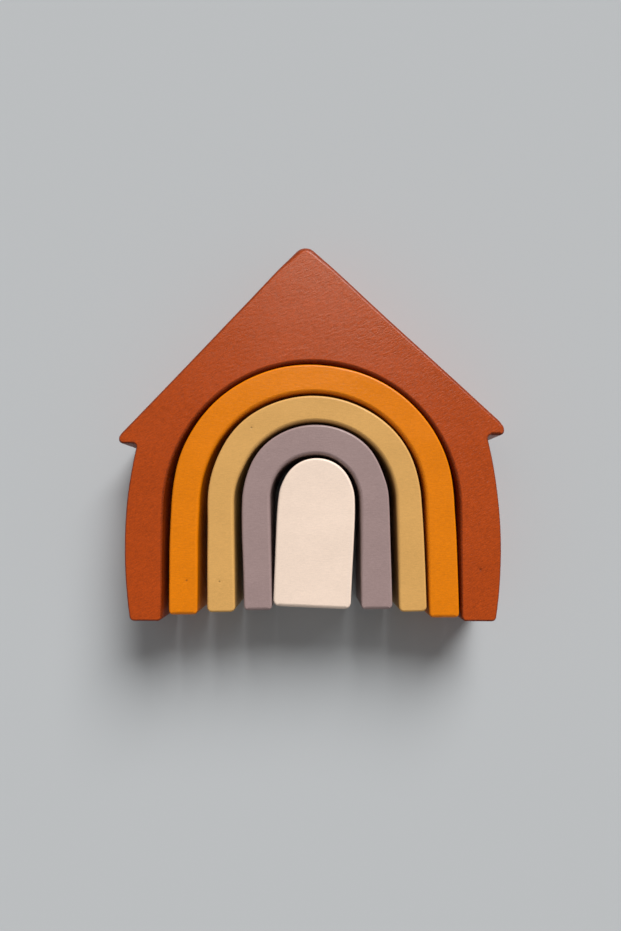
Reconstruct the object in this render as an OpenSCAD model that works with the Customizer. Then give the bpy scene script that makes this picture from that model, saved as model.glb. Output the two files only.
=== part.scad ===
// Rainbow stacker in the shape of a house: five loose pieces sawn out of one board, nested in each other
// and lying flat on their backs. X points to the right, Y towards the ridge and Z up, out of the front
// faces. The backs lie on Z = 0 and the middle of the house is at X = 0, Y = 0.

/* [Board] */
// Thickness of the board, front face to back face
board_t = 40; // [28:1:60]
// Rounding along every edge of every piece
edge_r = 1.4; // [0.8:0.1:3]
// Gap that the saw and the sanding leave between two pieces
saw_gap = 3.1; // [1.5:0.1:5]
// How much rounder than the edges the corners of the feet are
foot_add = 1.2; // [0.1:0.1:3]

/* [Nest] */
// Shares of the gap by which the large arch lies to the right and towards the ridge in the house
large_shift = [0.22, 0.55]; // [-0.7:0.01:0.7]
// Shares of the gap by which the middle arch lies to the right and towards the ridge in the large arch
middle_shift = [0.38, 0.4]; // [-0.7:0.01:0.7]
// Shares of the gap by which the small arch lies to the right and towards the ridge in the middle arch
small_shift = [0.02, 0.6]; // [-0.7:0.01:0.7]
// Shares of the gap by which the door block lies to the right and towards the ridge in the small arch
door_shift = [0.24, 0.16]; // [-0.7:0.01:0.7]
// Lean of the large arch to the left
large_lean = 0.3; // [-1:0.1:1]
// Lean of the middle arch to the left
middle_lean = 1; // [-1:0.1:1]
// Lean of the small arch to the left
small_lean = 1; // [-1:0.1:1]
// Lean of the door block to the left
door_lean = -2.5; // [-2.5:0.1:2.5]

/* [Door block] */
// Width of the door block
door_w = 40.6; // [30:0.2:60]
// Height of the centre of each round top above the feet
spring_h = 56; // [40:0.1:80]
// How much rounder than the edges the door block's two lower corners are
door_corner_add = 2.2; // [0.2:0.1:8]

/* [Arches] */
// Width of the large arch's bar
large_bar = 14.9; // [10:0.1:22]
// Width of the middle arch's bar
middle_bar = 14.6; // [10:0.1:22]
// Width of the small arch's bar
small_bar = 14.9; // [10:0.1:22]

/* [House] */
// Thickness of a wall at its widest point
wall_t = 19.5; // [15:0.1:30]
// How much longer the walls are than the legs of the arches
wall_add = 2; // [0:0.1:6]
// Height at which the bowed walls are widest
bow_h = 42; // [30:1:60]
// Radius of the bow of the walls
bow_r = 240; // [160:5:500]
// Height of the ridge above the crown of the opening
roof_rise = 62; // [50:0.5:80]
// Radius of the rounded ridge
ridge_r = 6; // [4:0.5:14]
// Sideways place of the ridge, to the right of the middle
ridge_x = -3.1; // [-10:0.1:10]
// How far the eaves stand out from the widest part of the walls
eave_out = 4.5; // [2:0.1:8]
// Underside of the left eave, above the centre of the opening's round top
left_eave = 32.6; // [28:0.1:44]
// Underside of the right eave, above the centre of the opening's round top
right_eave = 37.6; // [28:0.1:44]
// Radius where the roof slope turns down into the eave
nose_r = 8; // [4:0.5:10]
// How much rounder than the edges the lower corner of the eave is
lip_add = 1; // [0.1:0.1:2]
// Radius of the hollow between eave and wall
neck_r = 1.8; // [1:0.1:3]

/* [Hidden] */
$fa = 1.5;
$fs = 0.5;
// How far a straight step may leave a round stretch of the house's outline
chord_tol = 0.04;
// Steps in the rounding of the house's edges
margin_steps = 5;
// How far the rounded margins of the arches and the door block lap over their cores
margin_lap = 1;

// Radii of the nest, worked outwards from the door block
door_r = door_w / 2;
small_in = door_r + saw_gap;
small_out = small_in + small_bar;
middle_in = small_out + saw_gap;
middle_out = middle_in + middle_bar;
large_in = middle_out + saw_gap;
large_out = large_in + large_bar;
opening_r = large_out + saw_gap;

// Corners
door_corner = edge_r + door_corner_add;
foot_r = edge_r + foot_add;
lip_r = edge_r + lip_add;

// House
opening_h = spring_h + wall_add;
house_h = opening_h + opening_r + roof_rise;
wall_x = opening_r + wall_t;
half_w = wall_x + eave_out;

// Centre of each loose piece's round top, from the middle of the house's foot line
large_c = [0, opening_h] + saw_gap * large_shift;
middle_c = large_c + saw_gap * middle_shift;
small_c = middle_c + saw_gap * small_shift;
door_c = small_c + saw_gap * door_shift;

// Point at distance r from c, in the direction a
function polar(c, r, a) = c + r * [cos(a), sin(a)];

// Lays a piece, drawn upwards from its feet, on its back in the nest. The centre of its round top comes to a
// place above the house's foot line, and the piece leans to the left about it.
module lay(centre, lean = 0) {
    translate([centre.x, centre.y - house_h / 2, board_t / 2])
        rotate(lean) translate([0, -spring_h]) children();
}

// Cross section of the rounded margin of a board: X runs from edge_r inside the outline out to it, and
// the part below X = 0 laps over the core
module margin(lap) {
    flat_t = board_t / 2 - edge_r;
    translate([-lap, -board_t / 2]) square([lap, board_t]);
    translate([0, -flat_t]) square([edge_r, 2 * flat_t]);
    for (side = [0, 1]) mirror([0, side]) translate([0, flat_t]) intersection() {
        circle(edge_r);
        square(edge_r);
    }
}

// Margin along a straight stretch of the outline, with the wood on the right going from p to q
module straight(p, q) {
    run = q - p;
    translate(p) rotate(atan2(run.y, run.x)) translate([0, -edge_r]) rotate([90, 0, 90])
        linear_extrude(norm(run)) margin(margin_lap);
}

// Margin along an outward curve of radius r about c, from angle a to angle b
module curve(c, r, a, b) {
    inner_r = r - edge_r;
    translate(c) rotate(a) rotate_extrude(angle = b - a)
        translate([inner_r, 0]) margin(min(margin_lap, inner_r / 2));
}

// Margin along a hollow curve of radius r about c, from angle a to angle b
module hollow(c, r, a, b) {
    translate(c) rotate(a) rotate_extrude(angle = b - a)
        translate([r + edge_r, 0]) mirror([1, 0]) margin(margin_lap);
}

// The middle of a board, out to where its margins start
module core() {
    linear_extrude(board_t, center = true) children();
}

// Flat shape of a doorway, round at the top, that starts at height h
module doorway(r, h) {
    translate([-r, h]) square([2 * r, spring_h - h]);
    translate([0, spring_h]) intersection() {
        circle(r);
        translate([-r, 0]) square([2 * r, r]);
    }
}

// Flat shape of the lower end of a leg or block between two sides, below the centres of its corners
module sole(x_in, x_out, corner) {
    translate([x_in + corner, edge_r]) square([x_out - x_in - 2 * corner, corner - edge_r]);
    for (x = [x_in + corner, x_out - corner]) translate([x, corner]) circle(corner - edge_r);
}

// Margin of that lower end
module sole_margin(x_in, x_out, corner) {
    straight([x_out - corner, 0], [x_in + corner, 0]);
    curve([x_in + corner, corner], corner, 180, 270);
    curve([x_out - corner, corner], corner, 270, 360);
}

// Margin of the outside of an arch or block of radius r, down to its lower corners
module outer_margin(r, corner) {
    curve([0, spring_h], r, 0, 180);
    for (side = [0, 1]) mirror([side, 0, 0]) straight([r, spring_h], [r, corner]);
}

// Margin of the inside of an arch of radius r, down to its lower corners
module inner_margin(r, corner) {
    hollow([0, spring_h], r, 0, 180);
    for (side = [0, 1]) mirror([side, 0, 0]) straight([r, corner], [r, spring_h]);
}

// Arch bar between two radii
module arch(r_in, r_out) {
    core() {
        difference() {
            doorway(r_out - edge_r, foot_r);
            doorway(r_in + edge_r, foot_r);
        }
        for (side = [0, 1]) mirror([side, 0]) sole(r_in, r_out, foot_r);
    }
    outer_margin(r_out, foot_r);
    inner_margin(r_in, foot_r);
    for (side = [0, 1]) mirror([side, 0, 0]) sole_margin(r_in, r_out, foot_r);
}

// Outline of the house: points with their outward directions, counterclockwise, as a chain of arcs.
// Two arcs are joined by the straight stretch between them. A hollow arc has the wood outside it.
function arc(c, r, from, to, hollow = false) =
    let (steps = ceil(abs(to - from) / (2 * acos(1 - chord_tol / r))))
    [for (i = [0:steps])
        let (way = polar([0, 0], 1, from + (to - from) * i / steps))
        [c + r * way, hollow ? -way : way]];

// Right half of the house from its foot to its ridge. The roof slope is the common tangent of the ridge's
// circle and of the eave's nose, and both ends of the bowed wall run on into a smaller arc.
function half_outline(eave_h, ridge) =
    let (
        bow = [wall_x - bow_r, bow_h],
        foot_a = asin((foot_r - bow_h) / (bow_r - foot_r)),
        neck_a = asin((eave_h - neck_r - bow_h) / (bow_r + neck_r)),
        nose = [half_w - nose_r, eave_h + lip_r],
        up = ridge - nose,
        slope_a = atan2(up.y, up.x) - acos((nose_r - ridge_r) / norm(up))
    )
    concat(
        arc([opening_r + foot_r, foot_r], foot_r, 180, 270),
        arc(polar(bow, bow_r - foot_r, foot_a), foot_r, -90, foot_a),
        arc(bow, bow_r, foot_a, neck_a),
        arc(polar(bow, bow_r + neck_r, neck_a), neck_r, 180 + neck_a, 90, hollow = true),
        arc([half_w - lip_r, eave_h + lip_r], lip_r, -90, 0),
        arc(nose, nose_r, 0, slope_a),
        arc(ridge, ridge_r, slope_a, 90)
    );

// The same points seen in a mirror, in the order that keeps them counterclockwise
function mirrored(points) =
    [for (i = [len(points) - 1:-1:0]) [for (v = points[i]) [-v.x, v.y]]];

// Drops each point that repeats the one before it, where two arcs run on into each other
function distinct(points) =
    [for (i = [0:len(points) - 1])
        if (i == 0 || norm(points[i][0] - points[i - 1][0]) > 0.001) points[i]];

// Board with a rounded margin along any outline. The margin is a closed band with rings from the back face
// to the front face, each at a distance inside the outline and at a height, and it laps over the core.
module board(outline) {
    lap = min(foot_add, lip_add) / 2;
    flat_t = board_t / 2 - edge_r;
    rounding = [for (i = [0:margin_steps])
        let (a = 90 * i / margin_steps)
        [edge_r * (1 - cos(a)), flat_t + edge_r * sin(a)]];
    front = concat(rounding, [[edge_r + lap, board_t / 2]]);
    rings = concat([for (i = [len(front) - 1:-1:0]) [front[i][0], -front[i][1]]], front);
    points = [for (ring = rings, p = outline)
        let (at = p[0] - ring[0] * p[1])
        [at.x, at.y, ring[1]]];
    n = len(outline);
    walls = [for (k = [0:len(rings) - 1], i = [0:n - 1], half = [0, 1])
        let (next = (i + 1) % n, a = k * n, b = (k + 1) % len(rings) * n)
        half == 0 ? [a + i, b + i, a + next] : [a + next, b + i, b + next]];
    polyhedron(points, walls);
    core() polygon([for (p = outline) p[0] - (edge_r + lap / 2) * p[1]]);
}

module house() {
    ridge_y = house_h - ridge_r;
    right = half_outline(opening_h + right_eave, [ridge_x, ridge_y]);
    left = mirrored(half_outline(opening_h + left_eave, [-ridge_x, ridge_y]));
    opening = arc([0, opening_h], opening_r, 180, 0, hollow = true);
    color("#ad4a20") lay([0, spring_h]) board(distinct(concat(right, left, opening)));
}

module large_arch() {
    color("#e0820f") lay(large_c, large_lean) arch(large_in, large_out);
}

module middle_arch() {
    color("#d8a765") lay(middle_c, middle_lean) arch(middle_in, middle_out);
}

module small_arch() {
    color("#9e8887") lay(small_c, small_lean) arch(small_in, small_out);
}

module door_block() {
    color("#f0d9c6") lay(door_c, door_lean) {
        core() {
            doorway(door_r - edge_r, door_corner);
            sole(-door_r, door_r, door_corner);
        }
        outer_margin(door_r, door_corner);
        sole_margin(-door_r, door_r, door_corner);
    }
}

house();
large_arch();
middle_arch();
small_arch();
door_block();
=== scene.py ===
"""Painted wooden nesting set in the shape of a house, lying flat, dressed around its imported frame."""

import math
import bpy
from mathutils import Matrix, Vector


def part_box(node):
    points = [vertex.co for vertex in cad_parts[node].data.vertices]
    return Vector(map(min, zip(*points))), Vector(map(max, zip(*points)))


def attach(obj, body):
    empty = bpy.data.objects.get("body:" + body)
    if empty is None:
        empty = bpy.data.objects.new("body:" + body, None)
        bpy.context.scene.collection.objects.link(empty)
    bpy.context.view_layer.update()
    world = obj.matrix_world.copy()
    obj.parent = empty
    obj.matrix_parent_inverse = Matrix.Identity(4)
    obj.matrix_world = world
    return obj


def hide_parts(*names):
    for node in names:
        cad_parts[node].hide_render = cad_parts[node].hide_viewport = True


bl_info = {
    "name": "House Stacker",
    "version": (1, 0, 0),
    "blender": (4, 5, 0),
    "location": "View3D > Sidebar > Stacker",
    "description": "Builds a painted wooden nesting set in the shape of a house",
    "category": "Add Mesh",
}

import bpy
import numpy as np
from bpy.props import FloatProperty, FloatVectorProperty, PointerProperty
from bpy.types import Operator, Panel, PropertyGroup
from mathutils import Vector, noise
from mathutils.geometry import delaunay_2d_cdt

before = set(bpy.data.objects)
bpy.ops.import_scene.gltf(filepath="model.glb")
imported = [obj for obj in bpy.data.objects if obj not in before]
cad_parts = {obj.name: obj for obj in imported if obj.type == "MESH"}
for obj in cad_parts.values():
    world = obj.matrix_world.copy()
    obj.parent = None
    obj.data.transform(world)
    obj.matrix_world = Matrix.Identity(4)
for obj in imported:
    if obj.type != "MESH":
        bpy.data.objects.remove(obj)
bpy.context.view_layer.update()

MM = 0.001
HOUSE_LOW, HOUSE_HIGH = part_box("house")

# Fineness of the meshes
OUTLINE_STEP = 0.8 * MM
LEAST_ARC_STEPS = 6
SAME_POINT = 0.01 * MM
FACE_STEP = 3 * MM
FACE_MARGIN = 0.4 * MM
WALL_STEPS = 10
ROUNDING_STEPS = 7
CREASE_STEPS = 2

# How far each point spread over a face is moved at random and kept from the rim, as shares of the step
FACE_JITTER = 0.2
FACE_CLEARANCE = 0.45

# Setting of the triangulation that keeps the triangles inside the border, and its precision
INSIDE_BORDER = 1
MESH_PRECISION = 1e-9

# How far below the ridge its rounder edge starts
RIDGE_REACH = 14 * MM

# How an edge's rounding depends on where the edge faces: how quickly one rounding blends into the next,
# and how squarely an edge has to face the heart of the nest, a slope's side or the feet to get its own
EDGE_BLEND = 5
HEART_FACING = 0.1
SLOPE_FACING = 1.2
FOOT_FACING = 0.8

# Turn over which the tone of an edge sets in after the crease, and ends before the wall: painted shade on
# the house, worn paint with a painted highlight on the arches and door block
EDGE_TONE_START = 0.3
EDGE_TONE_END = 0.4

# How late along a rounded edge the shade of the hollow sides sets in
SHADE_POWER = 3

# Sizes of the unevenness that handwork leaves in the edges, outlines, faces and walls, and its swing
EDGE_WAVE = 14 * MM
OUTLINE_WAVE = 22 * MM
FACE_WAVE = 16 * MM
WALL_WAVE = 11 * MM
WAVE_SWING = 0.6
FACE_SEED_STEP = 0.5

# How far from its rim a face has its full unevenness
FACE_FADE = 3 * FACE_STEP

# How far a dressed piece may differ from the box of the solid that it stands for
BOX_TOLERANCE = 2.5 * MM

# How far each side of a leg drifts to the right on its way down to the foot, as it was cut by hand
LARGE_DRIFT = (-0.1 * MM, -0.6 * MM, 0.4 * MM, 0.5 * MM)
MIDDLE_DRIFT = (-0.4 * MM, 0.2 * MM, -0.2 * MM, 0.2 * MM)
SMALL_DRIFT = (0.9 * MM, 0.2 * MM, -0.8 * MM, 0.1 * MM)
DOOR_DRIFT = (0.4 * MM, -0.5 * MM)

# How much longer the left and the right leg came out at the foot
LARGE_LONGER = (0.3 * MM, 2.4 * MM)
MIDDLE_LONGER = (-0.4 * MM, 1.0 * MM)
SMALL_LONGER = (1.0 * MM, 1.5 * MM)
DOOR_LONGER = (0.7 * MM, 0.7 * MM)

# Where the saw strayed off a round top: angle and reach in degrees, and how far at the inner and outer side
LARGE_STRAYS = (
    (5, 12, -0.3 * MM, -0.6 * MM),
    (80, 16, -0.1 * MM, -0.5 * MM),
    (132, 20, 0.4 * MM, 0.5 * MM),
    (175, 12, -0.1 * MM, -0.6 * MM),
    (197, 14, 0.6 * MM, 0.3 * MM),
)
MIDDLE_STRAYS = (
    (8, 20, -0.2 * MM, -0.9 * MM),
    (65, 25, -0.1 * MM, -0.6 * MM),
    (132, 20, -0.4 * MM, 0.9 * MM),
    (155, 12, -0.6 * MM, -0.1 * MM),
)
SMALL_STRAYS = (
    (20, 17, -0.5 * MM, -0.9 * MM),
    (50, 18, -0.6 * MM, 0.2 * MM),
    (95, 25, -0.4 * MM, 0),
    (165, 18, 0, -0.8 * MM),
)
HOUSE_STRAYS = (
    (68, 22, 0, -0.3 * MM),
    (118, 22, 0, -0.4 * MM),
    (150, 18, 0, -0.3 * MM),
    (200, 18, 0.3 * MM, 0),
)
DOOR_STRAYS = (
    (20, 30, 0, -0.9 * MM),
    (160, 30, 0, -0.9 * MM),
)

# How far the inner and the outer side of each piece were cut off their lines, outwards from the middle
LARGE_CUT = (-0.6 * MM, -0.1 * MM)
MIDDLE_CUT = (0.5 * MM, -0.1 * MM)
SMALL_CUT = (-0.25 * MM, 0.15 * MM)
DOOR_CUT = 0.1 * MM
OPENING_CUT = -0.8 * MM
RIGHT_WALL_CUT = 1.0 * MM
RIGHT_EAVE_CUT = -0.5 * MM
RIDGE_CUT = 0.6 * MM

LARGE_HANDWORK = (LARGE_CUT, LARGE_STRAYS, LARGE_DRIFT, LARGE_LONGER)
MIDDLE_HANDWORK = (MIDDLE_CUT, MIDDLE_STRAYS, MIDDLE_DRIFT, MIDDLE_LONGER)
SMALL_HANDWORK = (SMALL_CUT, SMALL_STRAYS, SMALL_DRIFT, SMALL_LONGER)

# Small knocks in the front faces: place in the frame, radius and depth
HOUSE_KNOCKS = (((86.4 * MM, -72.2 * MM), 0.6 * MM, 0.2 * MM),)
LARGE_KNOCKS = (((-64.0 * MM, -77.9 * MM), 0.4 * MM, 0.12 * MM),)
MIDDLE_KNOCKS = (
    ((-31.3 * MM, 1.1 * MM), 0.4 * MM, 0.12 * MM),
    ((-47.1 * MM, -78.4 * MM), 0.4 * MM, 0.12 * MM),
)

# Mesh of a knock, in multiples of its radius: its rim, its rings of points, and how far others stay off
KNOCK_RIM = 1.5
KNOCK_RINGS = (0.4, 0.8, 1.2, 1.8)
KNOCK_ANGLES = np.arange(0, 6.2, 0.7)
KNOCK_CLEARANCE = 2.2

# How coarse the coat of each piece is, and the seed of its unevenness
HOUSE_TEXTURE, HOUSE_SEED = 2.8, 11
LARGE_TEXTURE, LARGE_SEED = 1.4, 23
MIDDLE_TEXTURE, MIDDLE_SEED = 0.9, 37
SMALL_TEXTURE, SMALL_SEED = 1.0, 41
DOOR_TEXTURE, DOOR_SEED = 0.6, 53

# Sizes of the textures of the coat along X, Y and Z in millimetres, and their detail
FIBRE_GRAIN = (3.0, 0.5, 0.5), 3.0
CLOUD_GRAIN = (26.0, 15.0, 15.0), 3.0
STIPPLE_GRAIN = (0.65, 0.55, 0.55), 2.0
STREAK_GRAIN = (3.2, 1.3, 1.3), 4.0
SAW_GRAIN = (0.8, 0.8, 14.0), 2.0
GRAIN_ROUGHNESS = 0.55

# How strongly the textures show in the coat's height, colour and roughness
FIBRE_HEIGHT = 0.6
STIPPLE_HEIGHT = 0.4
STREAK_HEIGHT = 0.8
BUMP_STRENGTH = 0.5
BUMP_DEPTH = 0.1 * MM
STIPPLE_TONE = 0.9
SPECK_TONE = 0.5
CLOUD_ROUGHNESS = 0.08
SAWN_ROUGHNESS = 0.12

FLOOR_ROUGHNESS = 0.9
CLIP_START = 10 * MM

# Sockets of a colour mix: its two colours, and the colour that it gives
MIX_FIRST, MIX_SECOND, MIX_RESULT = 6, 7, 2


def length(name, description, default):
    """A length in metres that a user can change."""
    return FloatProperty(
        name=name, description=description, default=default, min=0, unit="LENGTH", precision=4
    )


def offset(name, description, default):
    """A sideways or upward distance in metres, to either side."""
    return FloatProperty(name=name, description=description, default=default, unit="LENGTH", precision=4)


def share(name, description, default):
    """A share between none and all."""
    return FloatProperty(
        name=name, description=description, default=default, min=0, max=1, subtype="FACTOR"
    )


def turn(name, description, default):
    """An angle, given here in degrees."""
    return FloatProperty(name=name, description=description, default=math.radians(default), subtype="ANGLE")


def paint(name, description, default):
    """A linear colour."""
    return FloatVectorProperty(
        name=name, description=description, default=default, min=0, max=1, size=3, subtype="COLOR"
    )


class StackerSizes(PropertyGroup):
    """Sizes of the pieces and their places in the nest."""

    board_t: length("Board", "Thickness of the board", HOUSE_HIGH.z - HOUSE_LOW.z)
    edge_r: length("Edge", "Rounding along every edge", 1.4 * MM)
    crease: turn("Crease", "Turn of the tight bend between a face and its rounded edge", 14)
    crease_share: share("Crease radius", "Radius of that bend as a share of the edge's", 0.15)
    ridge_edge: length("Ridge edge", "Rounding of the much handled edge at the ridge", 4.2 * MM)
    left_edge: length("Left edge", "Rounding of the edge along the left slope of the roof", 2.2 * MM)
    right_edge: length("Right edge", "Rounding of the edge along the right slope of the roof", 2.8 * MM)
    hollow_edge: length("Hollow edge", "Rounding of the edges inside the opening and the arches", 2.2 * MM)
    foot_edge: length("Foot edge", "Rounding of the edge at the foot of an arch or the door block", 2.4 * MM)
    saw_gap: length("Gap", "Gap between two pieces", 3.1 * MM)
    foot_r: length("Foot corner", "Radius of the corners of the feet", 2.6 * MM)
    spring_h: length("Spring", "Height of the centre of each round top above the feet", 56 * MM)

    large_x: offset("Large arch right", "Centre of the large arch, right of the opening's", 0.682 * MM)
    large_y: offset("Large arch up", "Centre of the large arch, above the opening's", 1.705 * MM)
    large_lean: turn("Large arch lean", "Lean of the large arch to the left", 0.3)
    middle_x: offset("Middle arch right", "Centre of the middle arch, right of the large arch's", 1.178 * MM)
    middle_y: offset("Middle arch up", "Centre of the middle arch, above the large arch's", 1.24 * MM)
    middle_lean: turn("Middle arch lean", "Lean of the middle arch to the left", 1.0)
    small_x: offset("Small arch right", "Centre of the small arch, right of the middle arch's", 0.062 * MM)
    small_y: offset("Small arch up", "Centre of the small arch, above the middle arch's", 1.86 * MM)
    small_lean: turn("Small arch lean", "Lean of the small arch to the left", 1.0)
    door_x: offset("Door block right", "Centre of the door block, right of the small arch's", 0.744 * MM)
    door_y: offset("Door block up", "Centre of the door block, above the small arch's", 0.496 * MM)
    door_lean: turn("Door block lean", "Lean of the door block to the left", -2.5)

    door_w: length("Door block width", "Width of the door block", 40.6 * MM)
    door_corner: length("Door corner", "Radius of the door block's lower corners", 3.6 * MM)
    large_bar: length("Large bar", "Width of the large arch's bar", 14.9 * MM)
    middle_bar: length("Middle bar", "Width of the middle arch's bar", 14.6 * MM)
    small_bar: length("Small bar", "Width of the small arch's bar", 14.9 * MM)

    wall_add: length("Wall", "How much longer the house's walls are than the legs", 2 * MM)
    eave_out: length("Eave", "How far the eaves stand out from the walls", 4.5 * MM)
    bow_h: length("Bow height", "Height at which the bowed walls are widest", 42 * MM)
    bow_r: length("Bow", "Radius of the bow of the walls", 240 * MM)
    ridge_r: length("Ridge", "Radius of the rounded ridge", 7 * MM)
    ridge_x: offset("Ridge place", "Place of the ridge, right of the middle", -3.2 * MM)
    left_eave: length("Left eave", "Underside of the left eave above the opening's centre", 33.4 * MM)
    right_eave: length("Right eave", "Underside of the right eave above the opening's centre", 37.6 * MM)
    left_nose: length("Left nose", "Radius where the left slope turns down into its eave", 5.5 * MM)
    right_nose: length("Right nose", "Radius where the right slope turns down into its eave", 8 * MM)
    lip_r: length("Lip", "Radius of the lower corner of the eave", 2.4 * MM)
    neck_r: length("Neck", "Radius of the hollow between eave and wall", 1.8 * MM)

    edge_wander: share("Edge wander", "How far the rounding of the edges varies", 0.14)
    cut_wander: length("Cut wander", "How far the sawn outline wanders inwards", 0.15 * MM)
    face_wander: length("Face wander", "Depth of the hollows that sanding leaves in the faces", 0.07 * MM)


class StackerPaint(PropertyGroup):
    """Colours and finish of the painted wood."""

    rust: paint("Rust", "Paint of the house", (0.398, 0.054, 0.003))
    orange: paint("Orange", "Paint of the large arch", (0.73, 0.195, 0))
    sand: paint("Sand", "Paint of the middle arch", (0.66, 0.361, 0.108))
    mauve: paint("Mauve", "Paint of the small arch", (0.331, 0.232, 0.221))
    cream: paint("Cream", "Paint of the door block", (0.87, 0.69, 0.565))
    roughness: share("Roughness", "Roughness of the satin paint", 0.27)
    specular: share("Gloss", "Strength of the paint's gloss", 0.2)
    fibre: share("Fibre", "How strongly the wood's fibre shows in the colour", 0.16)
    cloud: share("Mottle", "How strongly the coat of paint is mottled", 0.08)
    # wear_and_highlight lightens the rounded edges of the arches and door block: partly worn paint, partly a
    # painted highlight
    wear_and_highlight: share("Wear", "How much lighter the paint is on the rubbed edges of the arches", 0.08)
    # rim darkens the rounded edges of the house: painted shade where those edges would catch the light
    rim: share("Rim", "How much darker the paint is along the edges of the house", 0.38)
    house_grain: turn("House grain", "Slant of the fibre in the house's face", 30)
    soak: share("Soak", "How much darker the paint is on the sawn sides", 0.12)
    # shade darkens the sides that face the heart of the nest: painted shade in the gaps between the pieces
    shade: share("Shade", "How much darker still it is on the sides that face the heart of the nest", 0.3)


class StackerStage(PropertyGroup):
    """Floor, light and camera."""

    floor: paint("Floor", "Colour of the floor", (0.5, 0.515, 0.525))
    floor_size: length("Floor size", "Side of the square floor", 40.0)
    ambient: share("Ambient", "Level of the light from all around", 0.25)
    key: share("Key", "Level of the soft key light on a flat face", 0.75)
    key_height: turn("Key height", "Height of the key light above the floor", 37)
    key_side: turn("Key side", "How far the key light stands to the right of the ridge", 21)
    key_width: turn("Key width", "Width of the key light as the object sees it", 36)
    glint: share("Glint", "Level of the higher light that gives the paint its sheen", 0.37)
    glint_height: turn("Glint height", "Height of that light above the floor", 58)
    glint_side: turn("Glint side", "Turn of that light to the right of the ridge", 0)
    glint_width: turn("Glint width", "Width of that light as the object sees it", 22)
    glint_colour: paint("Glint colour", "Colour of that light", (1.0, 0.92, 0.78))
    lens: FloatProperty(
        name="Lens", description="Focal length of the camera", default=23.974, unit="CAMERA"
    )
    camera_x: offset("Camera right", "Place of the camera, right of the middle", 1.84 * MM)
    camera_y: offset("Camera up", "Place of the camera, towards the ridge", -43.9 * MM)
    camera_z: length("Camera height", "Height of the camera above the floor", 360.83 * MM)
    camera_tilt: turn("Camera tilt", "Tilt of the camera towards the ridge", 4.473)
    camera_roll: turn("Camera turn", "Turn of the camera to the right", 0.416)


def polar(centre, radius, angle):
    """Point at a distance from a centre, in the direction of an angle."""
    return np.array(centre) + radius * np.array([math.cos(angle), math.sin(angle)])


def arc(centre, radius, start, end, hollow=False):
    """Points and outward directions along an arc. A hollow arc has the wood outside it."""
    steps = max(LEAST_ARC_STEPS, math.ceil(abs(end - start) * radius / OUTLINE_STEP))
    angles = np.linspace(start, end, steps + 1)
    ways = np.stack([np.cos(angles), np.sin(angles)], 1)
    return np.array(centre) + radius * ways, -ways if hollow else ways


def chain(arcs):
    """Closed outline through the arcs and the straight stretches between them, as points and directions."""
    points, ways = [], []
    for (here, out), (there, _) in zip(arcs, arcs[1:] + arcs[:1]):
        points.append(here)
        ways.append(out)
        gap = np.linalg.norm(there[0] - here[-1])
        between = np.linspace(0, 1, math.ceil(gap / OUTLINE_STEP) + 1)[1:-1]
        points.append(here[-1] + between[:, None] * (there[0] - here[-1]))
        ways.append(np.repeat(out[-1:], len(between), 0))
    points, ways = np.concatenate(points), np.concatenate(ways)
    apart = np.linalg.norm(points - np.roll(points, 1, 0), axis=1) > SAME_POINT
    return points[apart], ways[apart]


def arch_outline(sizes, r_in, r_out):
    """Outline of an arch bar, upwards from its feet."""
    top, foot = (0, sizes.spring_h), sizes.foot_r
    quarter = math.pi / 2
    return chain([
        arc((r_in + foot, foot), foot, -2 * quarter, -quarter),
        arc((r_out - foot, foot), foot, -quarter, 0),
        arc(top, r_out, 0, 2 * quarter),
        arc((foot - r_out, foot), foot, -2 * quarter, -quarter),
        arc((-foot - r_in, foot), foot, -quarter, 0),
        arc(top, r_in, 2 * quarter, 0, hollow=True),
    ])


def door_outline(sizes, radius):
    """Outline of the door block, upwards from its foot."""
    corner = sizes.door_corner
    quarter = math.pi / 2
    return chain([
        arc((radius - corner, corner), corner, -quarter, 0),
        arc((0, sizes.spring_h), radius, 0, 2 * quarter),
        arc((corner - radius, corner), corner, -2 * quarter, -quarter),
    ])


def house_half(sizes, opening_r, eave_h, ridge, wall_x, half_w, nose_r):
    """Arcs of the right half of the house, from its foot to its ridge."""
    quarter = math.pi / 2
    foot, neck, lip = sizes.foot_r, sizes.neck_r, sizes.lip_r
    bow = np.array([wall_x - sizes.bow_r, sizes.bow_h])
    foot_a = math.asin((foot - sizes.bow_h) / (sizes.bow_r - foot))
    neck_a = math.asin((eave_h - neck - sizes.bow_h) / (sizes.bow_r + neck))
    nose = np.array([half_w - nose_r, eave_h + lip])
    up = ridge - nose
    slope_a = math.atan2(up[1], up[0]) - math.acos((nose_r - sizes.ridge_r) / math.hypot(*up))
    return [
        arc((opening_r + foot, foot), foot, -2 * quarter, -quarter),
        arc(polar(bow, sizes.bow_r - foot, foot_a), foot, -quarter, foot_a),
        arc(bow, sizes.bow_r, foot_a, neck_a),
        arc(polar(bow, sizes.bow_r + neck, neck_a), neck, 2 * quarter + neck_a, quarter, hollow=True),
        arc((half_w - lip, eave_h + lip), lip, -quarter, 0),
        arc(nose, nose_r, 0, slope_a),
        arc(ridge, sizes.ridge_r, slope_a, quarter),
    ]


def mirrored(arcs):
    """The same arcs seen in a mirror, in the order that keeps the outline counterclockwise."""
    flip = np.array([-1, 1])
    return [(points[::-1] * flip, ways[::-1] * flip) for points, ways in arcs[::-1]]


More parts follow.
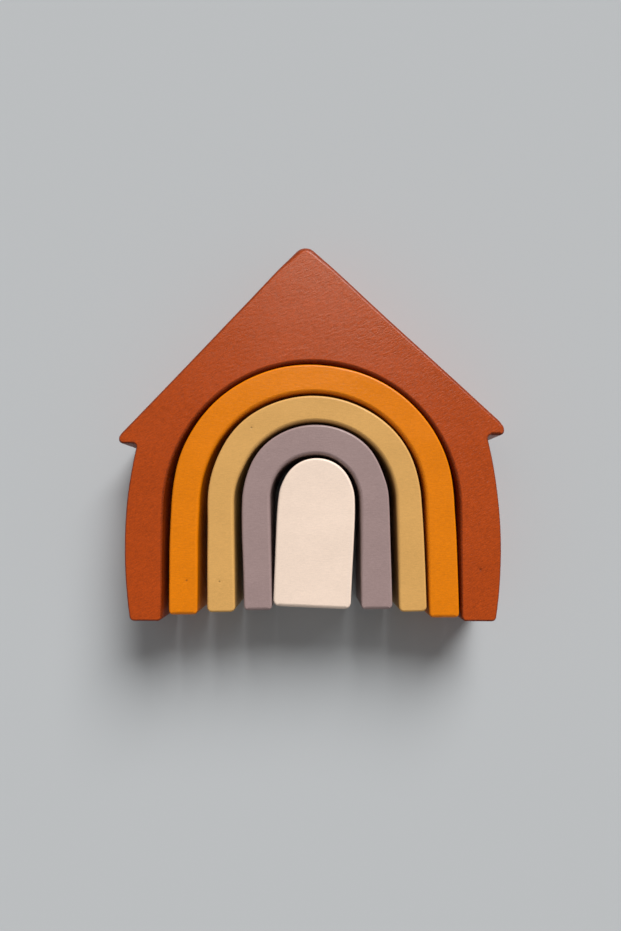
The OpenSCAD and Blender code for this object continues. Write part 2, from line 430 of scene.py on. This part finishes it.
def house_outline(sizes, opening_r):
    """Outline of the house, upwards from its feet."""
    half_w = (HOUSE_HIGH.x - HOUSE_LOW.x) / 2
    wall_x = half_w - sizes.eave_out
    opening_h = sizes.spring_h + sizes.wall_add
    ridge_y = HOUSE_HIGH.y - HOUSE_LOW.y + RIDGE_CUT - sizes.ridge_r
    right_ridge = np.array([sizes.ridge_x, ridge_y])
    left_ridge = np.array([-sizes.ridge_x, ridge_y])
    right_wall, right_end = wall_x + RIGHT_WALL_CUT, half_w + RIGHT_EAVE_CUT
    right_h, left_h = opening_h + sizes.right_eave, opening_h + sizes.left_eave
    right = house_half(sizes, opening_r, right_h, right_ridge, right_wall, right_end, sizes.right_nose)
    left = house_half(sizes, opening_r, left_h, left_ridge, wall_x, half_w, sizes.left_nose)
    opening = arc((0, opening_h), opening_r, math.pi, 0, hollow=True)
    points, ways = chain(right + mirrored(left) + [opening])
    return strayed(points, opening_h, opening_r + sizes.foot_r, HOUSE_STRAYS), ways


def smooth(t):
    """Eases a share from 0 to 1."""
    t = np.clip(t, 0, 1)
    return t * t * (3 - 2 * t)


def wander(points, size, seed):
    """Gentle noise from 0 to 1 at flat or solid points, with hollows of about the given size."""
    flat = points.shape[1] == 2
    values = [
        noise.noise(Vector((p[0] / size, p[1] / size, seed if flat else p[2] / size + seed))) for p in points
    ]
    return np.clip(0.5 + WAVE_SWING * np.array(values), 0, 1)


def drifted(points, spring_h, stations, drift):
    """Moves the legs sideways, by nothing at the spring line and by their drift at the foot."""
    moved = points.copy()
    depth = smooth((spring_h - points[:, 1]) / spring_h)
    moved[:, 0] += depth * np.interp(points[:, 0], stations, drift)
    return moved


def stretched(points, spring_h, stations, longer):
    """Makes the left and the right leg longer at the foot."""
    moved = points.copy()
    depth = smooth(1 - 2 * points[:, 1] / spring_h)
    moved[:, 1] -= depth * np.interp(points[:, 0], stations, longer)
    return moved


def strayed(points, spring_h, middle_r, strays):
    """Moves the sides of a round top to or from its centre where the saw strayed off its line."""
    spokes = points - [0, spring_h]
    reach_out = np.linalg.norm(spokes, axis=1)
    angles = (np.degrees(np.arctan2(spokes[:, 1], spokes[:, 0])) + 90) % 360 - 90
    outer = np.where(spokes[:, 1] > 0, reach_out, np.abs(spokes[:, 0])) > middle_r
    moved = points.copy()
    for angle, reach, inner_off, outer_off in strays:
        near = np.exp(-(((angles - angle) / reach) ** 2))
        moved += (near * np.where(outer, outer_off, inner_off) / reach_out)[:, None] * spokes
    return moved


def laid(points, ways, spring_h, centre, lean):
    """Turns an outline about the centre of its round top and puts that centre at its place in the frame."""
    turned = np.array([[math.cos(lean), math.sin(lean)], [-math.sin(lean), math.cos(lean)]])
    return (points - [0, spring_h]) @ turned + centre, ways @ turned


def inside(points, loop):
    """Whether each point lies inside a closed loop."""
    x, y = points[:, :1], points[:, 1:]
    a, b = loop, np.roll(loop, -1, 0)
    spans = (a[:, 1] > y) != (b[:, 1] > y)
    rise = np.where(b[:, 1] == a[:, 1], 1, b[:, 1] - a[:, 1])
    return np.sum(spans & (x < a[:, 0] + (y - a[:, 1]) / rise * (b[:, 0] - a[:, 0])), 1) % 2 == 1


def distance(points, loop):
    """Distance of each point from the nearest point of a loop."""
    near = [np.linalg.norm(loop - p, axis=1).min() for p in points]
    return np.array(near) if near else np.zeros(0)


def face_points(loop, knocks, seed):
    """Points spread over a face inside its loop, closer together in the knocks."""
    random = np.random.default_rng(seed)
    low, high = loop.min(0), loop.max(0)
    row_step = FACE_STEP * math.sqrt(3) / 2
    rows = np.arange(low[1], high[1], row_step)
    spread = [
        (x + (FACE_STEP / 2 if k % 2 else 0), y)
        for k, y in enumerate(rows)
        for x in np.arange(low[0], high[0], FACE_STEP)
    ]
    spread = np.array(spread)
    spread += random.uniform(-FACE_JITTER, FACE_JITTER, spread.shape) * FACE_STEP
    spread = spread[inside(spread, loop)]
    spread = spread[distance(spread, loop) > FACE_CLEARANCE * FACE_STEP]
    for centre, radius, _ in knocks:
        spread = spread[np.linalg.norm(spread - centre, axis=1) > KNOCK_CLEARANCE * radius]
        rings = [polar(centre, r * radius, a) for r in KNOCK_RINGS for a in KNOCK_ANGLES]
        spread = np.concatenate([spread, [centre], rings])
    return spread


def face_mesh(loop, spread):
    """Triangles of a face over its loop's points and the spread points, all by index."""
    points = [Vector(p) for p in np.concatenate([loop, spread])]
    border = [(i, (i + 1) % len(loop)) for i in range(len(loop))]
    found = delaunay_2d_cdt(points, border, [], INSIDE_BORDER, MESH_PRECISION)
    origin = [ids[0] for ids in found[3]]
    return [[origin[v] for v in face] for face in found[2]]


def rim_profile(sizes):
    """Steps of a rounded edge from the face to the wall: inset, drop and turn, for an edge of radius 1."""
    bend, tight = sizes.crease, sizes.crease_share
    steps = []
    for turned in np.linspace(0, bend, CREASE_STEPS + 1)[:-1]:
        inset = 1 - math.sin(bend) + tight * (math.sin(bend) - math.sin(turned))
        steps.append((inset, tight * (1 - math.cos(turned)), turned))
    for turned in np.linspace(bend, math.pi / 2, ROUNDING_STEPS + 1):
        drop = tight * (1 - math.cos(bend)) + math.cos(bend) - math.cos(turned)
        steps.append((1 - math.sin(turned), drop, turned))
    return steps


def board_rings(points, ways, sizes, radius, seed):
    """Rings round the rim of a board from back to front, with how rounded and how sawn each one is."""
    radius = radius[:, None]
    profile = rim_profile(sizes)
    top = profile[0][0] * radius + FACE_MARGIN
    rings, edge, sawn = [np.hstack([points - top * ways, 0 * radius])], [0], [0]
    for inset, drop, turned in profile:
        rings.append(np.hstack([points - inset * radius * ways, drop * radius]))
        # Share of the edge tone at this ring: painted shade on the house, wear and painted highlight on the
        # other pieces
        edge_tone = smooth((turned - sizes.crease) / EDGE_TONE_START) * smooth((math.pi / 2 - turned) / EDGE_TONE_END)
        edge.append(float(edge_tone))
        sawn.append(math.sin(turned) ** 2)
    low = profile[-1][1] * radius
    for k in range(1, WALL_STEPS):
        ring = np.hstack([points, low + (sizes.board_t - 2 * low) * k / WALL_STEPS])
        hollow = sizes.face_wander * wander(ring, WALL_WAVE, seed) * math.sin(math.pi * k / WALL_STEPS)
        ring[:, :2] -= hollow[:, None] * ways
        rings.append(ring)
        edge.append(0)
        sawn.append(1)
    half = len(profile) + 1
    for k in range(half - 1, -1, -1):
        ring = rings[k].copy()
        ring[:, 2] = sizes.board_t - ring[:, 2]
        rings.append(ring)
        edge.append(edge[k])
        sawn.append(sawn[k])
    return rings, edge, sawn


def edge_radii(points, ways, sizes, foot_edge, left_edge, right_edge, seed):
    """Radius of the edge along an outline: uneven, and its own at hollows, slopes, feet and ridge."""
    radius = sizes.edge_r * (1 - sizes.edge_wander * wander(points, EDGE_WAVE, seed))
    spokes = points - [0, HOUSE_LOW.y + sizes.spring_h]
    facing = -(spokes * ways).sum(1) / np.linalg.norm(spokes, axis=1)
    # The left eave keeps the plain edge on its underside
    facing = np.where(points[:, 0] < HOUSE_LOW.x + 2 * sizes.eave_out, 0, facing)
    hollow = smooth(EDGE_BLEND * (facing - HEART_FACING)) * smooth(1 + spokes[:, 1] / sizes.spring_h)
    right = smooth(EDGE_BLEND * (ways[:, 1] + ways[:, 0] - SLOPE_FACING))
    left = smooth(EDGE_BLEND * (ways[:, 1] - ways[:, 0] - SLOPE_FACING))
    low = points[:, 1] < HOUSE_LOW.y + sizes.spring_h / 2
    foot = smooth(EDGE_BLEND * (-ways[:, 1] - FOOT_FACING)) * low
    ridge = smooth((points[:, 1] - HOUSE_HIGH.y + RIDGE_REACH) / RIDGE_REACH)
    weights = hollow, right, left, foot, ridge
    own_radii = sizes.hollow_edge, right_edge, left_edge, foot_edge, sizes.ridge_edge
    for weight, own in zip(weights, own_radii):
        radius = radius + weight * (own - radius)
    return radius


def build_board(name, outline, sizes, edges, knocks, seed):
    """Solid board with hand-rounded edges over an outline that lies in the frame."""
    points, ways = outline
    points = points - (sizes.cut_wander * wander(points, OUTLINE_WAVE, seed))[:, None] * ways
    radius = edge_radii(points, ways, sizes, *edges, seed)
    rings, edge, sawn = board_rings(points, ways, sizes, radius, seed)
    n = len(points)
    loop = rings[-1][:, :2]
    spread = face_points(loop, knocks, seed)
    fade = smooth(distance(spread, loop) / FACE_FADE)
    dip = sizes.face_wander * fade * wander(spread, FACE_WAVE, seed + FACE_SEED_STEP)
    speck = np.zeros(len(spread))
    for centre, knock_r, depth in knocks:
        away = np.linalg.norm(spread - centre, axis=1) / (KNOCK_RIM * knock_r)
        hollow = np.clip(1 - away**2, 0, 1)
        dip += depth * hollow
        speck = np.maximum(speck, hollow)
    front = np.hstack([spread, (sizes.board_t - dip)[:, None]])
    back = np.hstack([spread, np.zeros((len(spread), 1))])
    vertices = np.concatenate(rings + [front, back])

    walls = [
        (k * n + i, k * n + (i + 1) % n, (k + 1) * n + (i + 1) % n, (k + 1) * n + i)
        for k in range(len(rings) - 1)
        for i in range(n)
    ]
    triangles = face_mesh(loop, spread)
    last, rim = (len(rings) - 1) * n, len(rings) * n
    fronts = [[last + v if v < n else rim + v - n for v in face] for face in triangles]
    backs = [[v if v < n else rim + len(spread) + v - n for v in face[::-1]] for face in triangles]
    mesh = bpy.data.meshes.new(name)
    mesh.from_pydata(vertices.tolist(), [], walls + fronts + backs)
    if mesh.validate():
        raise RuntimeError(f"{name}: the mesh had stray faces")
    bare = np.zeros(2 * len(spread))
    # Sides that face the heart of the nest, which get painted shade
    inner = ((points - [0, HOUSE_LOW.y + sizes.spring_h]) * ways).sum(1) < 0
    layers = {
        # Where the edge tone falls: painted shade on the house's edges, wear and painted highlight on the
        # other pieces
        "edge": np.concatenate([np.repeat(edge, n), bare]),
        "sawn": np.concatenate([np.repeat(sawn, n), bare]),
        # Painted shade on the sides that face the heart of the nest, setting in late along the rounded edge
        "inner": np.concatenate([np.outer(np.power(sawn, SHADE_POWER), inner).ravel(), bare]),
        "speck": np.concatenate([np.zeros(rim), speck, np.zeros(len(spread))]),
    }
    for layer, values in layers.items():
        mesh.attributes.new(layer, "FLOAT", "POINT").data.foreach_set("value", values.astype(np.float32))
    mesh.shade_smooth()
    return mesh


def link_nodes(tree, source, target):
    """Links an output socket to an input socket."""
    tree.links.new(source, target)


def add_node(tree, kind, **values):
    """New shader node with its inputs and settings."""
    made = tree.nodes.new(kind)
    for key, value in values.items():
        if hasattr(made, key):
            setattr(made, key, value)
        else:
            made.inputs[key.replace("_", " ").title()].default_value = value
    return made


def grain_noise(tree, place, grain, slant=0):
    """Noise of a grain, with its size along each axis in millimetres and its detail, turned to the left."""
    sizes_mm, detail = grain
    mapping = add_node(tree, "ShaderNodeMapping", vector_type="TEXTURE")
    mapping.inputs["Rotation"].default_value = (0, 0, slant)
    mapping.inputs["Scale"].default_value = [s * MM for s in sizes_mm]
    link_nodes(tree, place, mapping.inputs["Vector"])
    made = add_node(tree, "ShaderNodeTexNoise", scale=1.0, detail=detail, roughness=GRAIN_ROUGHNESS)
    link_nodes(tree, mapping.outputs["Vector"], made.inputs["Vector"])
    return made.outputs["Fac"]


def combine(tree, operation, first, second):
    """Math node between two sockets, or a socket and a number."""
    made = add_node(tree, "ShaderNodeMath", operation=operation)
    for slot_index, value in enumerate((first, second)):
        if isinstance(value, (int, float)):
            made.inputs[slot_index].default_value = value
        else:
            link_nodes(tree, value, made.inputs[slot_index])
    return made.outputs["Value"]


def swing(tree, value, amount):
    """Turns noise from 0 to 1 into a swing of the given amount to either side of nothing."""
    return combine(tree, "MULTIPLY", combine(tree, "SUBTRACT", value, 0.5), 2 * amount)


def layer_value(tree, name):
    """Value of one of the mesh's own layers."""
    layer = add_node(tree, "ShaderNodeAttribute", attribute_name=name)
    return layer.outputs["Fac"]


def painted_wood(name, colour, texture, slant, rim, finish):
    """Satin paint on sawn wood: fibre and mottling in the coat, painted shade on the house's rounded edges,
    wear with a painted highlight on the other pieces' edges, thirsty sawn sides, and painted shade on the
    sides that face the heart of the nest.
    """
    material = bpy.data.materials.new(name)
    material.use_nodes = True
    tree = material.node_tree
    shader = tree.nodes["Principled BSDF"]
    place = add_node(tree, "ShaderNodeTexCoord").outputs["Object"]
    fibre = grain_noise(tree, place, FIBRE_GRAIN, slant)
    cloud = grain_noise(tree, place, CLOUD_GRAIN)
    stipple = grain_noise(tree, place, STIPPLE_GRAIN)
    streak = grain_noise(tree, place, STREAK_GRAIN, slant)
    saw = grain_noise(tree, place, SAW_GRAIN)
    edge, sawn, inner, speck = (layer_value(tree, layer) for layer in ("edge", "sawn", "inner", "speck"))

    tone = swing(tree, fibre, texture * finish.fibre)
    tone = combine(tree, "ADD", tone, swing(tree, cloud, finish.cloud))
    tone = combine(tree, "ADD", tone, swing(tree, stipple, STIPPLE_TONE * texture * finish.fibre))
    tone = combine(tree, "ADD", tone, 1.0)
    # Edge tone: painted shade on the house (a negative rim), wear and painted highlight on the arches and
    # door block
    tone = combine(tree, "ADD", tone, combine(tree, "MULTIPLY", edge, rim))
    tone = combine(tree, "SUBTRACT", tone, combine(tree, "MULTIPLY", sawn, finish.soak))
    # Painted shade on the sides that face the heart of the nest, where the gaps between the pieces are in
    # shade
    tone = combine(tree, "SUBTRACT", tone, combine(tree, "MULTIPLY", inner, finish.shade))
    tone = combine(tree, "SUBTRACT", tone, combine(tree, "MULTIPLY", speck, SPECK_TONE))
    shade = add_node(tree, "ShaderNodeVectorMath", operation="SCALE")
    shade.inputs[0].default_value = colour
    link_nodes(tree, tone, shade.inputs["Scale"])
    link_nodes(tree, shade.outputs["Vector"], shader.inputs["Base Color"])

    rough = combine(tree, "ADD", swing(tree, cloud, CLOUD_ROUGHNESS), finish.roughness)
    rough = combine(tree, "ADD", rough, combine(tree, "MULTIPLY", sawn, SAWN_ROUGHNESS))
    link_nodes(tree, rough, shader.inputs["Roughness"])
    shader.inputs["Specular IOR Level"].default_value = finish.specular

    height = combine(tree, "MULTIPLY", fibre, FIBRE_HEIGHT)
    height = combine(tree, "ADD", height, combine(tree, "MULTIPLY", stipple, STIPPLE_HEIGHT))
    height = combine(tree, "ADD", height, combine(tree, "MULTIPLY", streak, STREAK_HEIGHT))
    height = combine(tree, "ADD", height, combine(tree, "MULTIPLY", saw, sawn))
    bump = add_node(tree, "ShaderNodeBump", strength=BUMP_STRENGTH, distance=BUMP_DEPTH * texture)
    link_nodes(tree, height, bump.inputs["Height"])
    link_nodes(tree, bump.outputs["Normal"], shader.inputs["Normal"])
    return material


def dress(context, node, outline, edges, colour, texture, slant, rim, slot, knocks=(), seed=0):
    """Puts a painted board in the place of a CAD node, riding on the body of the same name."""
    mesh = build_board("painted_" + node, outline, context.scene.stacker_sizes, edges, knocks, seed)
    mesh.materials.append(painted_wood(slot, colour, texture, slant, rim, context.scene.stacker_paint))
    piece = bpy.data.objects.new(mesh.name, mesh)
    context.scene.collection.objects.link(piece)
    low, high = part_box(node)
    corners = np.array([v.co for v in mesh.vertices])
    off = max(np.abs(corners.min(0) - low).max(), np.abs(corners.max(0) - high).max())
    if off > BOX_TOLERANCE:
        raise RuntimeError(f"{node}: the dressed piece is {off / MM:.2f} mm off its solid's box")
    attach(piece, node)
    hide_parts(node)


def radii(sizes):
    """Radii of the nest, worked outwards from the door block."""
    door = sizes.door_w / 2
    small_in = door + sizes.saw_gap
    middle_in = small_in + sizes.small_bar + sizes.saw_gap
    large_in = middle_in + sizes.middle_bar + sizes.saw_gap
    opening = large_in + sizes.large_bar + sizes.saw_gap
    return door, small_in, middle_in, large_in, opening


def centres(sizes):
    """Centres of the round tops in the frame: opening, large, middle and small arch, and door block."""
    opening = np.array([0, HOUSE_LOW.y + sizes.spring_h + sizes.wall_add])
    large = opening + [sizes.large_x, sizes.large_y]
    middle = large + [sizes.middle_x, sizes.middle_y]
    small = middle + [sizes.small_x, sizes.small_y]
    return opening, large, middle, small, small + [sizes.door_x, sizes.door_y]


class STACKER_OT_house(Operator):
    """Builds the house: the outer board with its gable, eaves, bowed walls and arched opening"""

    bl_idname = "stacker.house"
    bl_label = "House"

    def execute(self, context):
        sizes, finish = context.scene.stacker_sizes, context.scene.stacker_paint
        points, ways = house_outline(sizes, radii(sizes)[-1] + OPENING_CUT)
        outline = points + [0, HOUSE_LOW.y], ways
        # The house's edges take the rim as painted shade, darker than its face
        look = finish.rust, HOUSE_TEXTURE, finish.house_grain, -finish.rim, "rust_paint"
        edges = sizes.edge_r, sizes.left_edge, sizes.right_edge
        dress(context, "house", outline, edges, *look, HOUSE_KNOCKS, HOUSE_SEED)
        return {"FINISHED"}


class STACKER_OT_arches(Operator):
    """Builds the three arch bars that nest in the house"""

    bl_idname = "stacker.arches"
    bl_label = "Arches"

    def execute(self, context):
        sizes, finish = context.scene.stacker_sizes, context.scene.stacker_paint
        _, small_in, middle_in, large_in, _ = radii(sizes)
        _, large, middle, small, _ = centres(sizes)
        bars = (
            ("large_arch", (large_in, sizes.large_bar), (large, sizes.large_lean), LARGE_HANDWORK,
             (finish.orange, LARGE_TEXTURE, "orange_paint"), LARGE_KNOCKS, sizes.foot_edge, LARGE_SEED),
            ("middle_arch", (middle_in, sizes.middle_bar), (middle, sizes.middle_lean), MIDDLE_HANDWORK,
             (finish.sand, MIDDLE_TEXTURE, "sand_paint"), MIDDLE_KNOCKS, sizes.edge_r, MIDDLE_SEED),
            ("small_arch", (small_in, sizes.small_bar), (small, sizes.small_lean), SMALL_HANDWORK,
             (finish.mauve, SMALL_TEXTURE, "mauve_paint"), (), sizes.foot_edge, SMALL_SEED),
        )
        for node, (radius, bar), (centre, lean), handwork, coat, knocks, foot_edge, seed in bars:
            cut, strays, drift, longer = handwork
            colour, texture, slot = coat
            r_in, r_out = radius + cut[0], radius + bar + cut[1]
            points, ways = arch_outline(sizes, r_in, r_out)
            points = strayed(points, sizes.spring_h, (r_in + r_out) / 2, strays)
            points = drifted(points, sizes.spring_h, (-r_out, -r_in, r_in, r_out), drift)
            points = stretched(points, sizes.spring_h, (-r_in, r_in), longer)
            outline = laid(points, ways, sizes.spring_h, centre, lean)
            edges = foot_edge, sizes.edge_r, sizes.edge_r
            # The arches' edges take worn paint with a painted highlight
            dress(context, node, outline, edges, colour, texture, 0, finish.wear_and_highlight, slot, knocks, seed)
        return {"FINISHED"}


class STACKER_OT_door_block(Operator):
    """Builds the door block in the heart of the nest"""

    bl_idname = "stacker.door_block"
    bl_label = "Door block"

    def execute(self, context):
        sizes, finish = context.scene.stacker_sizes, context.scene.stacker_paint
        radius, centre = radii(sizes)[0] + DOOR_CUT, centres(sizes)[-1]
        points, ways = door_outline(sizes, radius)
        points = strayed(points, sizes.spring_h, 0, DOOR_STRAYS)
        points = drifted(points, sizes.spring_h, (-radius, radius), DOOR_DRIFT)
        points = stretched(points, sizes.spring_h, (-radius, radius), DOOR_LONGER)
        outline = laid(points, ways, sizes.spring_h, centre, sizes.door_lean)
        # The door block's edges take worn paint with a painted highlight
        look = finish.cream, DOOR_TEXTURE, 0, finish.wear_and_highlight, "cream_paint"
        edges = sizes.foot_edge, sizes.edge_r, sizes.edge_r
        dress(context, "door_block", outline, edges, *look, seed=DOOR_SEED)
        return {"FINISHED"}


def make_floor(scene, settings):
    """Plain pale floor under the set."""
    half = settings.floor_size / 2
    mesh = bpy.data.meshes.new("floor")
    corners = [(-half, -half, 0), (half, -half, 0), (half, half, 0), (-half, half, 0)]
    mesh.from_pydata(corners, [], [(0, 1, 2, 3)])
    material = bpy.data.materials.new("floor")
    material.use_nodes = True
    shader = material.node_tree.nodes["Principled BSDF"]
    shader.inputs["Base Color"].default_value = (*settings.floor, 1)
    shader.inputs["Roughness"].default_value = FLOOR_ROUGHNESS
    shader.inputs["Specular IOR Level"].default_value = 0
    mesh.materials.append(material)
    floor = bpy.data.objects.new("floor", mesh)
    scene.collection.objects.link(floor)


def add_lamp(scene, name, level, height, side, width):
    """Wide lamp beyond the ridge that lights a flat face to the given level."""
    lamp = bpy.data.lights.new(name, "SUN")
    lamp.energy = level * math.pi / math.sin(height)
    lamp.angle = width
    placed = bpy.data.objects.new(name, lamp)
    flat = math.cos(height)
    to_light = Vector((flat * math.sin(side), flat * math.cos(side), math.sin(height)))
    placed.rotation_euler = to_light.to_track_quat("Z", "Y").to_euler()
    scene.collection.objects.link(placed)
    return placed


def make_light(scene, settings):
    """Soft light from all around, two wide lamps beyond the ridge, and a background like the floor."""
    world = bpy.data.worlds.new("studio")
    scene.world = world
    world.use_nodes = True
    tree = world.node_tree
    shader = tree.nodes["Background"]
    path = add_node(tree, "ShaderNodeLightPath")
    seen = combine(tree, "MAXIMUM", path.outputs["Is Camera Ray"], path.outputs["Is Glossy Ray"])
    seen = combine(tree, "MAXIMUM", seen, path.outputs["Is Transmission Ray"])
    mix = add_node(tree, "ShaderNodeMix", data_type="RGBA")
    mix.inputs[MIX_FIRST].default_value = (settings.ambient,) * 3 + (1,)
    mix.inputs[MIX_SECOND].default_value = (*settings.floor, 1)
    link_nodes(tree, seen, mix.inputs["Factor"])
    link_nodes(tree, mix.outputs[MIX_RESULT], shader.inputs["Color"])

    add_lamp(scene, "key", settings.key, settings.key_height, settings.key_side, settings.key_width)
    glint = settings.glint, settings.glint_height, settings.glint_side, settings.glint_width
    lamp = add_lamp(scene, "glint", *glint)
    lamp.visible_diffuse = False
    lamp.data.color = settings.glint_colour


def make_camera(scene, settings):
    """Camera over the set, looking down on it."""
    data = bpy.data.cameras.new("camera")
    data.lens = settings.lens
    data.clip_start = CLIP_START
    camera = bpy.data.objects.new("camera", data)
    camera.location = (settings.camera_x, settings.camera_y, settings.camera_z)
    camera.rotation_euler = (settings.camera_tilt, settings.camera_roll, 0)
    scene.collection.objects.link(camera)
    scene.camera = camera


class STACKER_OT_stage(Operator):
    """Sets the floor, the light and the camera"""

    bl_idname = "stacker.stage"
    bl_label = "Stage"

    def execute(self, context):
        settings = context.scene.stacker_stage
        make_floor(context.scene, settings)
        make_light(context.scene, settings)
        make_camera(context.scene, settings)
        context.scene.view_settings.view_transform = "Standard"
        return {"FINISHED"}


class STACKER_PT_panel(Panel):
    """Lists the steps that build the set"""

    bl_idname = "STACKER_PT_panel"
    bl_label = "House Stacker"
    bl_space_type = "VIEW_3D"
    bl_region_type = "UI"
    bl_category = "Stacker"

    def draw(self, context):
        for step in OPERATORS:
            self.layout.operator(step.bl_idname)
        scene = context.scene
        for group in (scene.stacker_sizes, scene.stacker_paint, scene.stacker_stage):
            box = self.layout.box()
            for name in group.__annotations__:
                box.prop(group, name)


GROUPS = (StackerSizes, StackerPaint, StackerStage)
OPERATORS = (STACKER_OT_stage, STACKER_OT_house, STACKER_OT_arches, STACKER_OT_door_block)
CLASSES = GROUPS + OPERATORS + (STACKER_PT_panel,)


def register():
    for cls in CLASSES:
        bpy.utils.register_class(cls)
    bpy.types.Scene.stacker_sizes = PointerProperty(type=StackerSizes)
    bpy.types.Scene.stacker_paint = PointerProperty(type=StackerPaint)
    bpy.types.Scene.stacker_stage = PointerProperty(type=StackerStage)


def unregister():
    for name in ("stacker_sizes", "stacker_paint", "stacker_stage"):
        delattr(bpy.types.Scene, name)
    for cls in reversed(CLASSES):
        bpy.utils.unregister_class(cls)


def main():
    """Builds the whole set."""
    register()
    bpy.ops.stacker.stage()
    bpy.ops.stacker.house()
    bpy.ops.stacker.arches()
    bpy.ops.stacker.door_block()


if __name__ == "__main__":
    main()
